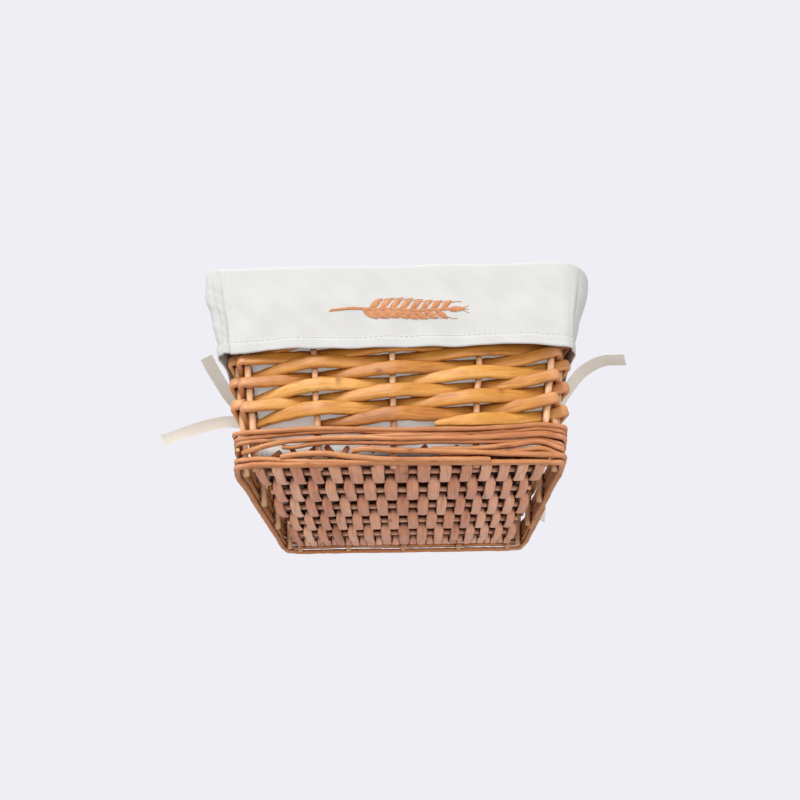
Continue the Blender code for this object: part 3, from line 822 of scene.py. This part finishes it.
def soft_noise(x, y, seed, scales, count=7):
    """A sum of waves across two coordinates in metres, from about -1 to 1."""
    rng = seeded(19, seed)
    total = np.zeros(np.broadcast(x, y).shape)
    for _ in range(count):
        size = rng.uniform(*scales)
        turn = rng.uniform(0, math.pi)
        phase = rng.uniform(0, 2 * math.pi)
        total += np.sin((x * math.cos(turn) + y * math.sin(turn)) / size * 2 * math.pi + phase)
    return total / math.sqrt(count)


LOOP_PARTS = np.array([0.218, 0.036, 0.184, 0.036] * 2)
LOOP_ENDS = np.concatenate([[0], np.cumsum(LOOP_PARTS)]) / LOOP_PARTS.sum()


def loop_points(height, offset, radii, columns, puff=(0.0, 0.0)):
    """Evenly spread points round the basket, their facings and how far along the loop each is.

    The radii are of the corners after the front, the right, the back and the left.
    """
    half_x = HALF_WIDTH + TAPER * height + offset + puff[0]
    half_y = HALF_DEPTH + TAPER * height + offset + puff[1]
    share = np.arange(columns) / columns
    points, facings = np.zeros((columns, 3)), np.zeros((columns, 3))
    for i, at in enumerate(share):
        k = min(7, int(np.searchsorted(LOOP_ENDS, at, side="right") - 1))
        t = (at - LOOP_ENDS[k]) / (LOOP_ENDS[k + 1] - LOOP_ENDS[k])
        side = k // 2
        along, out = SIDES[side]
        size, distance = (half_x, half_y) if side % 2 == 0 else (half_y, half_x)
        before, after = radii[side - 1], radii[side]
        if k % 2 == 0:
            points[i] = along * (before - size + (2 * size - before - after) * t) + out * distance
            facings[i] = out
        else:
            turn = t * math.pi / 2
            facings[i] = out * math.cos(turn) + along * math.sin(turn)
            points[i] = along * (size - after) + out * (distance - after) + facings[i] * after
    points[:, 2] = height
    return points, facings, share * 2 * (half_x + half_y) * 2 * 0.97


def cloth_object(name, rings, spaces, closed_bottom, thickness, material, node, tones=0.5):
    """A sheet lofted through rings of points, whose face is on the side that looks outwards."""
    columns = len(rings[0])
    shape = Shape()
    points = np.vstack(rings)
    faces = tube_faces(len(rings), columns)
    faces = [(a, d, c, b) if closed_bottom else (b, c, d, a) for a, b, c, d in faces]
    if closed_bottom:
        faces.append(tuple(reversed(range(columns))))
    shape.add(points, faces, [0] * len(faces), np.vstack(spaces), tones)
    obj = link(name, shape.mesh(node, "cloth_space", 80), (material,), "cotton", node)
    solid = obj.modifiers.new("thickness", "SOLIDIFY")
    solid.thickness = thickness
    solid.offset = -1
    return obj


def corner_share(share):
    """How far each place on the loop is from the middle of its nearest corner, and which corner it is."""
    middles = (LOOP_ENDS[1:8:2] + LOOP_ENDS[2:9:2]) / 2
    away = (share[:, None] - middles[None, :] + 0.5) % 1.0 - 0.5
    nearest = np.argmin(np.abs(away), axis=1)
    return away[np.arange(len(share)), nearest] * LOOP_PARTS.sum() * 1.15, nearest


CUFF_COLUMNS = 560
# The cuff stands this far out from the wall's middle: inside the rim, over it, and outside down to the hem
CUFF_INSIDE = -0.0089
FOLD_MIDDLE, FOLD_REACH, FOLD_RISE = 0.0018, 0.0112, 0.0056
CUFF_OUTSIDE, CUFF_LEAN = 0.0131, 0.0034
CUFF_THICKNESS = 0.0009
HEM_WIDTH = 0.0088
KNOT_HEIGHT = 0.1
KNOT_Y = 0.004
# How far the side panels are drawn in beside the corners, by how far down the cuff they are
END_TUCK = ((0.3, 0.6, 0.85, 1.0), (0.0, 0.0032, 0.0028, 0.0012))
CUFF_SHIFT = 0.0022
# How far the hem is drawn up along the front
HEM_PLACES = (-0.135, -0.115, -0.098, -0.060, -0.018, 0.004, 0.040, 0.080, 0.116, 0.135)
HEM_LIFTS = (-0.0026, -0.0012, 0.0014, 0.0028, 0.0028, 0.0010, 0.0016, 0.0012, -0.0010, -0.0024)


def make_cuff():
    """The turned-over cuff: up from inside, over the border, down outside to a stitched hem."""
    share = np.arange(CUFF_COLUMNS) / CUFF_COLUMNS
    away, corner = corner_share(share)
    profile = []
    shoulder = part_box("liner_cuff")[1][2] - 0.0049
    for t in np.linspace(0, 1, 5):
        profile.append((shoulder - 0.0067 + 0.0065 * t, CUFF_INSIDE - 0.0006 * t, 0.0))
    for t in np.linspace(0.12, 1, 12):
        turn = math.pi * t
        offset = FOLD_MIDDLE - FOLD_REACH * math.cos(turn)
        profile.append((shoulder + FOLD_RISE * math.sin(turn), offset, 0.0))
    drop = shoulder - CUFF_HEM
    for t in np.linspace(0.02, 1, 46):
        profile.append((shoulder - drop * t, CUFF_OUTSIDE - CUFF_LEAN * t, t))
    rings, spaces = [], []
    run = 0.0
    last = None
    full = np.ones(CUFF_COLUMNS)
    for height, offset, fall in profile:
        over = min(1.0, max(0.0, (offset - CUFF_INSIDE) / (CUFF_OUTSIDE - CUFF_INSIDE)))
        front_right = 0.010 + over * (0.015 * (1 - fall) + 0.003)
        radii = [front_right, *[0.009 + 0.010 * over] * 2, 0.008 + 0.003 * over]
        puff = (over * (0.0048 - 0.0030 * fall), over * 0.0026 * (1 - fall))
        points, facings, along = loop_points(height, offset, radii, CUFF_COLUMNS, puff)
        run += 0.0 if last is None else math.hypot(height - last[0], offset - last[1])
        last = (height, offset)
        front = np.clip(-facings[:, 1], 0, 1) ** 2
        lift = fall**2 * (front * np.interp(points[:, 0], HEM_PLACES, HEM_LIFTS) + (1 - front) * -0.0010)
        lift += over * (1 - fall) * (0.0047 - 0.002 * points[:, 0])
        lift += 0.0009 * fall * soft_noise(share * 1.06, 0 * share, 1, (0.05, 0.16))
        lift += 0.0006 * over * (1 - fall) * soft_noise(share * 1.06, 0 * share, 8, (0.03, 0.08))
        wave = 0.0009 * soft_noise(along, run * full, 2, (0.05, 0.16))
        wave += 0.0005 * soft_noise(along, run * full, 3, (0.018, 0.05))
        outward = wave * min(1.0, 0.35 + fall * 1.4)
        outward += 0.0010 * fall * soft_noise(along, 0.25 * run * full, 4, (0.06, 0.14))
        outward += fold_depth(away, corner, fall, over)
        outward += knot_pull(points, fall)
        from_hem = (1 - fall) * drop
        if fall > 0:
            outward += 0.00055 / (1 + math.exp((from_hem - HEM_WIDTH) / 0.0005))
            outward -= 0.00050 * math.exp(-(((from_hem - HEM_WIDTH) / 0.0007) ** 2))
        points += facings * outward[:, None]
        points[:, 2] += lift
        ends = np.clip((np.abs(points[:, 1]) - 0.05) / 0.05, 0, 1) * np.abs(facings[:, 0])
        points[:, 0] -= np.sign(points[:, 0]) * ends * np.interp(fall, *END_TUCK)
        points[:, 0] += CUFF_SHIFT * over * (1 - fall)
        rings.append(points)
        spaces.append(np.stack([along, run * full, 0 * along], axis=-1))
    cuff = cloth_object("cotton_cuff", rings, spaces, False, CUFF_THICKNESS, "cotton", "liner_cuff")
    stitches = make_hem_stitches(rings)
    return rings


def fold_depth(away, corner, fall, over):
    """How far out the cuff stands near its corners: a sharp fold at one side of each and a puff past it."""
    down = min(1.0, 3 * fall)
    left, right = corner == 3, corner == 0
    depth = -0.0013 * np.exp(-(((away - 0.0155) / 0.0016) ** 2)) * down * ~right
    depth -= 0.0012 * np.exp(-(((away + 0.0030) / 0.0014) ** 2)) * down * right
    depth += 0.0008 * np.exp(-(((away + 0.0065) / 0.0020) ** 2)) * down * right
    middle = math.sin(math.pi * min(1.0, 0.12 + 0.8 * fall))
    depth += 0.0062 * np.exp(-(((away + 0.012) / 0.013) ** 2)) * left * over * middle
    depth += 0.0030 * np.exp(-(((away - 0.014) / 0.014) ** 2)) * right * over * middle
    depth -= 0.0016 * np.exp(-(((away - 0.0015) / 0.0014) ** 2)) * left * down
    return depth


def knot_pull(points, fall):
    """How far in the cuff is drawn round the knots at its two ends, with small folds spreading from them."""
    y, z = points[:, 1] - KNOT_Y, points[:, 2] - KNOT_HEIGHT
    end = np.abs(points[:, 0]) > 0.12
    spread = np.hypot(y, z)
    folds = 0.0007 * np.cos(7 * np.arctan2(z, y)) * np.exp(-((spread / 0.026) ** 2))
    folds *= 1 - np.exp(-((spread / 0.006) ** 2))
    return (folds - 0.0014 * np.exp(-((spread / 0.016) ** 2))) * end * min(1.0, 4 * fall)


def capsule(shape, start, end, out, radius, tone, rng, bulge=0.0):
    """One short stitch lying between two points."""
    start, end = np.array(start), np.array(end)
    knots = []
    for t in np.linspace(0, 1, 5):
        size = 2 * radius * math.sqrt(max(0.05, 1 - (2 * t - 1) ** 4))
        place = start + (end - start) * t + out * (bulge * math.sin(math.pi * t))
        knots.append([*place, *out, size * 0.8, size])
    add_rod(shape, np.array(knots), rng, tone, sides=6, power=2.0, relief=0.0, buds=9.0, flats=(False, False))


def make_hem_stitches(rings):
    """A row of small stitches round the cuff, just above the hem."""
    shape = Shape()
    rng = seeded(20, 0)
    middle = (rings[-7] + rings[-8]) / 2
    columns = len(middle)
    for k in range(0, columns, 2):
        a, b = middle[k], middle[(k + 1) % columns]
        out = np.cross(b - a, UP)
        out /= np.linalg.norm(out)
        capsule(shape, a + out * 0.00012, a + (b - a) * 1.25 + out * 0.00012, out, 0.00026, 0.6, rng, 0.0001)
    return link("hem_stitching", shape.mesh("hem_stitching"), ("stitch",), "cotton")


BAG_COLUMNS = 300
BAG_OFFSET = -0.0086
BAG_BEND = 0.005
BAG_REACH = 0.083
BAG_THICKNESS = 0.0008


def make_bag():
    """The bag inside the weave: a floor, four walls and a soft corner between them."""
    share = np.arange(BAG_COLUMNS) / BAG_COLUMNS
    away, _ = corner_share(share)
    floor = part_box("liner_bag")[0][2] + 0.0002
    rings, spaces = [], []
    profile = [(floor, BAG_REACH * (t - 1)) for t in np.linspace(0.04, 0.93, 16)]
    for t in np.linspace(0.0, 1, 6):
        turn = t * math.pi / 2
        profile.append((floor + BAG_BEND * (1 - math.cos(turn)), BAG_BEND * (math.sin(turn) - 1)))
    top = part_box("liner_bag")[1][2]
    for t in np.linspace(0.04, 1, 34):
        profile.append((floor + BAG_BEND + (top - 0.003 - floor - BAG_BEND) * t, 0.0))
    run = 0.0
    last = None
    for height, inset in profile:
        radius = max(0.0004, 0.008 + inset * 0.09)
        points, facings, along = loop_points(height, BAG_OFFSET + inset, [radius] * 4, BAG_COLUMNS)
        run += 0.0 if last is None else math.hypot(height - last[0], inset - last[1])
        last = (height, inset)
        depth = run * np.ones(BAG_COLUMNS)
        wave = 0.0011 * soft_noise(along, depth, 5, (0.05, 0.15))
        wave += 0.0005 * soft_noise(along, depth, 6, (0.02, 0.05))
        up_wall = min(1.0, max(0.0, (height - floor) / 0.02))
        seam = np.exp(-(away / 0.0014) ** 2)
        inward = -(0.0013 + wave) * up_wall * min(1.0, (top + 0.002 - height) / 0.012)
        inward -= 0.0007 * seam * up_wall
        points += facings * inward[:, None]
        if up_wall < 1:
            bump = 0.0009 * soft_noise(points[:, 0], points[:, 1], 7, (0.03, 0.11)) + 0.0012
            points[:, 2] += bump * (1 - up_wall) * min(1.0, -inset / 0.02 if inset < 0 else 0.0)
        rings.append(points)
        if up_wall < 0.02:
            spaces.append(np.stack([points[:, 0], points[:, 1], 0 * along], axis=-1))
        else:
            spaces.append(np.stack([along, depth, 0 * along], axis=-1))
    heights = np.vstack(rings)[:, 2]
    tones = np.clip((heights - floor - 0.002) / 0.008, 0, 1)
    bag = cloth_object("cotton_bag", rings, spaces, True, BAG_THICKNESS, "bag", "liner_bag", tones)


# ---------------------------------------------------------------- the embroidery

EAR_LENGTH = 0.104
EAR_HEIGHT = 0.1215
EAR_GRAINS = 8
GRAIN_LENGTH = 0.0125
GRAIN_WIDTH = 0.0056
GRAIN_TILT = math.radians(36)
STRAND_PITCH = 0.00050
STRAND_RADIUS = 0.00030
STEM_HALF = 0.00105


class CuffFace:
    """Places on the front of the cuff, read off its rings."""

    def __init__(self, rings):
        grid = np.array(rings)
        front = [k for k in range(grid.shape[1]) if abs(grid[-20, k, 0]) < 0.09 and grid[-20, k, 1] < 0]
        self.points = grid[18:, front].reshape(-1, 3)

    def at(self, x, z):
        """The cuff's surface at (x, z): the weighted middle of the grid points near it."""
        away = (self.points[:, 0] - x) ** 2 + (self.points[:, 2] - z) ** 2
        near = np.argpartition(away, 6)[:6]
        weight = 1 / (away[near] + 1e-8)
        return float(np.sum(self.points[near, 1] * weight) / weight.sum())


def stitched(shape, face, line, out_shift, radius, tone, rng):
    """A strand of thread through (x, z, lift) points on the cuff."""
    knots = []
    for x, z, lift in line:
        place = np.array((x, face.at(x, z) - out_shift - lift, z))
        knots.append([*place, 0, -1, 0, radius * 1.5, radius * 2])
    add_rod(shape, np.array(knots), rng, tone, sides=6, power=2.0, relief=0.0, buds=9.0, flats=(False, False))


def grain_strands(shape, face, x, z, tilt, size, rng):
    """A grain in satin stitch: strands side by side across it, slanting, higher in the middle."""
    length, width = size
    count = int(length / STRAND_PITCH)
    for i in range(count):
        t = (i + 0.5) / count
        half = width / 2 * math.sin(math.pi * t) ** 0.62 * (1.12 - 0.35 * t)
        slant = 0.0011 if half > 0.001 else 0.00044
        line = []
        for u in (-1, -0.6, 0, 0.6, 1):
            a = t * length + u * slant
            b = u * half
            here = (x + a * math.cos(tilt) - b * math.sin(tilt), z + a * math.sin(tilt) + b * math.cos(tilt))
            line.append((*here, 0.00055 * (1 - u * u)))
        stitched(shape, face, line, 0.0001, STRAND_RADIUS, 0.5 + 0.35 * rng.uniform(-1, 1), rng)


def make_embroidery(rings):
    face = CuffFace(rings)
    shape = Shape()
    rng = seeded(21, 0)
    left, right = -EAR_LENGTH / 2, EAR_LENGTH / 2
    tip = right - GRAIN_LENGTH

    def stem_height(x):
        return EAR_HEIGHT + 0.0016 * math.sin((x - left) / EAR_LENGTH * 2 * math.pi)

    steps = int((tip - left) / 0.00055)
    for i in range(steps):
        x = left + (tip - left) * i / steps
        z = stem_height(x)
        line = [(x + u * 0.0009, z + u * STEM_HALF, 0.0004 * (1 - u * u)) for u in (-1, -0.5, 0, 0.5, 1)]
        stitched(shape, face, line, 0.0001, STRAND_RADIUS, 0.45 + 0.3 * rng.uniform(-1, 1), rng)
    first = left + EAR_LENGTH * 0.27
    pitch = (tip - first) / EAR_GRAINS
    for i in range(EAR_GRAINS):
        shrink = 1.0 - 0.18 * i / EAR_GRAINS
        for sign in (-1, 1):
            x = first + (i + 0.25 * sign) * pitch
            size = (GRAIN_LENGTH * shrink, GRAIN_WIDTH * shrink)
            grain_strands(shape, face, x, stem_height(x) + sign * 0.0009, sign * GRAIN_TILT, size, rng)
            whisker = []
            for u in np.linspace(0, 1, 6):
                reach = GRAIN_LENGTH * shrink * (0.95 + 0.75 * u)
                bend = sign * GRAIN_TILT * (1 - 0.35 * u)
                whisker.append((x + reach * math.cos(bend), stem_height(x) + reach * math.sin(bend), 0.0001))
            stitched(shape, face, whisker, 0.0001, STRAND_RADIUS, 0.5, rng)
    grain_strands(shape, face, tip, stem_height(tip), 0.0, (GRAIN_LENGTH, GRAIN_WIDTH * 0.9), rng)
    for bend in (-0.32, 0.0, 0.32):
        line = []
        for u in np.linspace(0, 1, 4):
            rise = GRAIN_LENGTH * bend * (0.3 + 0.5 * u)
            line.append((tip + GRAIN_LENGTH * (0.9 + 0.35 * u), stem_height(tip) + rise, 0.0001))
        stitched(shape, face, line, 0.0001, 0.00028, 0.5, rng)
    link("wheat_embroidery_thread", shape.mesh("wheat"), ("thread",), "thread", "wheat_embroidery")


# ---------------------------------------------------------------- the ties

TAPE_WIDTH = 0.0108
TAPE_THICKNESS = 0.0008
TAILS = {
    "tie_left_upper": (
        ((-0.1491, -0.001, 0.1085), (-0.1571, -0.014, 0.1112), (-0.1642, -0.030, 0.1188),
         (-0.1695, -0.044, 0.1260), (-0.1731, -0.056, 0.1318)),
        (-0.67, 0.21, -0.72), (-0.86, 0.01, -0.52),
    ),
    "tie_left_lower": (
        ((-0.1500, 0.002, 0.0965), (-0.1617, -0.003, 0.0952), (-0.1796, -0.006, 0.0899),
         (-0.1988, -0.006, 0.0828), (-0.2198, -0.003, 0.0760)),
        (0.0, 0.50, -0.87), (0.33, 0.57, -0.75),
    ),
    "tie_right_upper": (
        ((0.1491, -0.001, 0.1085), (0.1579, -0.015, 0.1181), (0.1690, -0.029, 0.1268),
         (0.1818, -0.043, 0.1277), (0.1975, -0.056, 0.1199)),
        (0.45, 0.60, -0.66), (0.16, 0.85, -0.50),
    ),
    "tie_right_lower": (
        ((0.1460, 0.008, 0.0905), (0.1402, 0.013, 0.0678), (0.1336, 0.020, 0.0457),
         (0.1284, 0.026, 0.0238), (0.1252, 0.030, 0.0055)),
        (0.25, 0.95, 0.0), (0.50, 0.86, 0.0),
    ),
}


def add_tape(shape, route, widths, size, rng, cup=0.0004):
    """A flat woven tape along a route, slightly cupped, with thicker edges."""
    across_count = 9
    ahead = np.gradient(route, axis=0)
    ahead /= np.linalg.norm(ahead, axis=1)[:, None]
    widths = widths - ahead * np.sum(widths * ahead, axis=1)[:, None]
    widths /= np.linalg.norm(widths, axis=1)[:, None]
    out = np.cross(ahead, widths)
    length = np.concatenate([[0], np.cumsum(np.linalg.norm(np.diff(route, axis=0), axis=1))])
    width, thick = size
    us = np.linspace(-1, 1, across_count)
    rows, spaces = [], []
    for i in range(len(route)):
        ripple = 0.00025 * math.sin(length[i] / 0.009 + rng.uniform(0, 0.4))
        ring, space = [], []
        for sign in (1, -1):
            for u in (us if sign > 0 else us[::-1]):
                edge = 1.15 if abs(u) > 0.9 else 1.0
                lift = cup * (u * u - 0.4) + ripple * u + sign * thick / 2 * edge
                ring.append(route[i] + widths[i] * (u * width / 2) + out[i] * lift)
                space.append((length[i], u * width / 2, 0.0))
        rows.append(ring)
        spaces.append(space)
    size_ring = 2 * across_count
    points = np.array(rows).reshape(-1, 3)
    count = len(route)
    faces = [(a, d, c, b) for a, b, c, d in tube_faces(count, size_ring)]
    faces.append(tuple(reversed(range(size_ring))))
    faces.append(tuple(range((count - 1) * size_ring, count * size_ring)))
    shape.add(points, faces, [0] * len(faces), np.array(spaces).reshape(-1, 3), 0.5)


def make_tails():
    for name, (points, start, end) in TAILS.items():
        rng = seeded(22, len(name) + (name.count("left")))
        rows = smooth_rows(np.array(points), 0.0022)
        share = np.linspace(0, 1, len(rows))[:, None]
        widths = np.array(start)[None, :] * (1 - share) + np.array(end)[None, :] * share
        shape = Shape()
        add_tape(shape, rows, widths, (TAPE_WIDTH, TAPE_THICKNESS), rng)
        mesh = shape.mesh(name, "cloth_space", 60)
        tail = link("tape_" + name[4:], mesh, ("tape",), "cotton", name)


def make_knot(name, sign):
    """The knot of a tie: tape laid flat along the cuff, and wrapped twice round itself."""
    low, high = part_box(name)
    middle = (np.array(low) + np.array(high)) / 2
    out = np.array((sign, 0.0, 0.0))
    rng = seeded(23, sign + 1)
    shape = Shape()
    for turn, (tilt, reach) in enumerate(((0.5, 1.0), (-0.6, 0.92), (1.5, 0.8))):
        route, widths = [], []
        lengthways = np.array((0.0, math.cos(tilt), math.sin(tilt)))
        across = np.array((0.0, -math.sin(tilt), math.cos(tilt)))
        for angle in np.linspace(0, 2 * math.pi, 26):
            place = middle + lengthways * (0.0062 * reach * math.cos(angle))
            place = place + out * (0.0021 * reach * math.sin(angle))
            place = place + across * (0.0010 * math.sin(angle + turn))
            route.append(place)
            widths.append(across + 0.15 * lengthways * math.sin(angle))
        add_tape(shape, np.array(route), np.array(widths), (0.0082 * reach, TAPE_THICKNESS), rng, 0.0009)
    link("tape_" + name[4:], shape.mesh(name, "cloth_space", 60), ("tape",), "cotton", name)


# ---------------------------------------------------------------- the set


FLOOR_HALF = 4.0
STUDIO_LIGHT = 0.62
CAMERA_PLACE = (0.0064, -0.4555, -0.1702)
CAMERA_CLIMB, CAMERA_YAW, CAMERA_ROLL = math.radians(32.3), math.radians(0.89), math.radians(-0.60)
CAMERA_LENS = 25.2


def make_floor():
    """A pale floor that is seen only from above, so that the base can be looked at from below."""
    mesh = bpy.data.meshes.new("floor")
    corners = [(x * FLOOR_HALF, y * FLOOR_HALF, 0) for x, y in ((-1, -1), (1, -1), (1, 1), (-1, 1))]
    mesh.from_pydata(corners, [], [(0, 1, 2, 3)])
    floor = bpy.data.objects.new("floor", mesh)
    bpy.context.collection.objects.link(floor)
    tree = Tree("floor")
    cloud = tree.noise(tree.add("TexCoord").outputs["Object"], (3, 3, 3), 2.0)
    pale = tree.ramp(cloud, (0.3, rgb(238, 237, 242)), (0.7, rgb(241, 240, 244)))
    paint = tree.ramp(cloud, (0.3, rgb(136, 135, 138)), (0.7, rgb(142, 141, 144)))
    tree.set(tree.shader, Base_Color=paint, Emission_Color=pale, Emission_Strength=0.52, Roughness=0.9)
    clear = tree.add("BsdfTransparent")
    facing = tree.add("NewGeometry")
    mix = tree.nodes.new("ShaderNodeMixShader")
    tree.links.new(facing.outputs["Backfacing"], mix.inputs[0])
    tree.links.new(tree.shader.outputs[0], mix.inputs[1])
    tree.links.new(clear.outputs[0], mix.inputs[2])
    tree.links.new(mix.outputs[0], tree.nodes["Material Output"].inputs["Surface"])
    mesh.materials.append(tree.material)
    for ray in ("shadow", "diffuse", "glossy", "transmission"):
        setattr(floor, "visible_" + ray, False)


def make_world():
    scene = bpy.context.scene
    world = bpy.data.worlds.new("studio")
    scene.world = world
    world.use_nodes = True
    nodes, links = world.node_tree.nodes, world.node_tree.links
    nodes.clear()
    light = nodes.new("ShaderNodeBackground")
    light.inputs[0].default_value = (*rgb(250, 250, 252), 1)
    light.inputs[1].default_value = STUDIO_LIGHT
    seen = nodes.new("ShaderNodeBackground")
    seen.inputs[0].default_value = (*rgb(239, 238, 244), 1)
    path = nodes.new("ShaderNodeLightPath")
    mix = nodes.new("ShaderNodeMixShader")
    output = nodes.new("ShaderNodeOutputWorld")
    links.new(path.outputs["Is Camera Ray"], mix.inputs[0])
    links.new(light.outputs[0], mix.inputs[1])
    links.new(seen.outputs[0], mix.inputs[2])
    links.new(mix.outputs[0], output.inputs[0])


def add_area(name, place, target, size, power, colour):
    data = bpy.data.lights.new(name, "AREA")
    data.shape = "DISK"
    data.size = size
    data.energy = power
    data.color = colour
    light = bpy.data.objects.new(name, data)
    light.location = place
    light.rotation_euler = (Vector(target) - Vector(place)).to_track_quat("-Z", "Y").to_euler()
    bpy.context.collection.objects.link(light)


# Name, place, what it points at, size in metres, power in watts and colour
LIGHTS = (
    ("key", (-0.5, -1.3, 1.1), (0, 0, 0.08), 0.9, 22, (1.0, 0.985, 0.96)),
    ("top", (0.35, 0.3, 1.5), (0, 0, 0.05), 0.8, 10, (1, 1, 1)),
    ("low_front", (0.3, -1.2, -0.5), (0, 0, 0.03), 0.9, 4.5, (1.0, 0.97, 0.95)),
)


def make_camera():
    """The camera in front of the basket and below it, looking up at its front and its base."""
    climb, yaw, roll = CAMERA_CLIMB, CAMERA_YAW, CAMERA_ROLL
    turn = Matrix.Rotation(yaw, 3, "Z")
    forward = turn @ Vector((0, math.cos(climb), math.sin(climb)))
    up = turn @ Vector((0, -math.sin(climb), math.cos(climb)))
    right = turn @ Vector((1, 0, 0))
    right, up = math.cos(roll) * right + math.sin(roll) * up, math.cos(roll) * up - math.sin(roll) * right
    data = bpy.data.cameras.new("camera")
    data.sensor_width = 36
    data.lens = CAMERA_LENS
    camera = bpy.data.objects.new("camera", data)
    matrix = Matrix((right, up, -forward)).transposed().to_4x4()
    matrix.translation = CAMERA_PLACE
    camera.matrix_world = matrix
    bpy.context.collection.objects.link(camera)
    bpy.context.scene.camera = camera


make_camera()
make_tails()
make_knot("tie_left_knot", -1)
make_knot("tie_right_knot", 1)
make_weavers()
make_stakes()
make_waling()
make_rim()
make_base()
cuff_rings = make_cuff()
make_bag()
make_embroidery(cuff_rings)
make_floor()
make_world()
for light_settings in LIGHTS:
    add_area(*light_settings)
bpy.context.scene.view_settings.view_transform = "Standard"
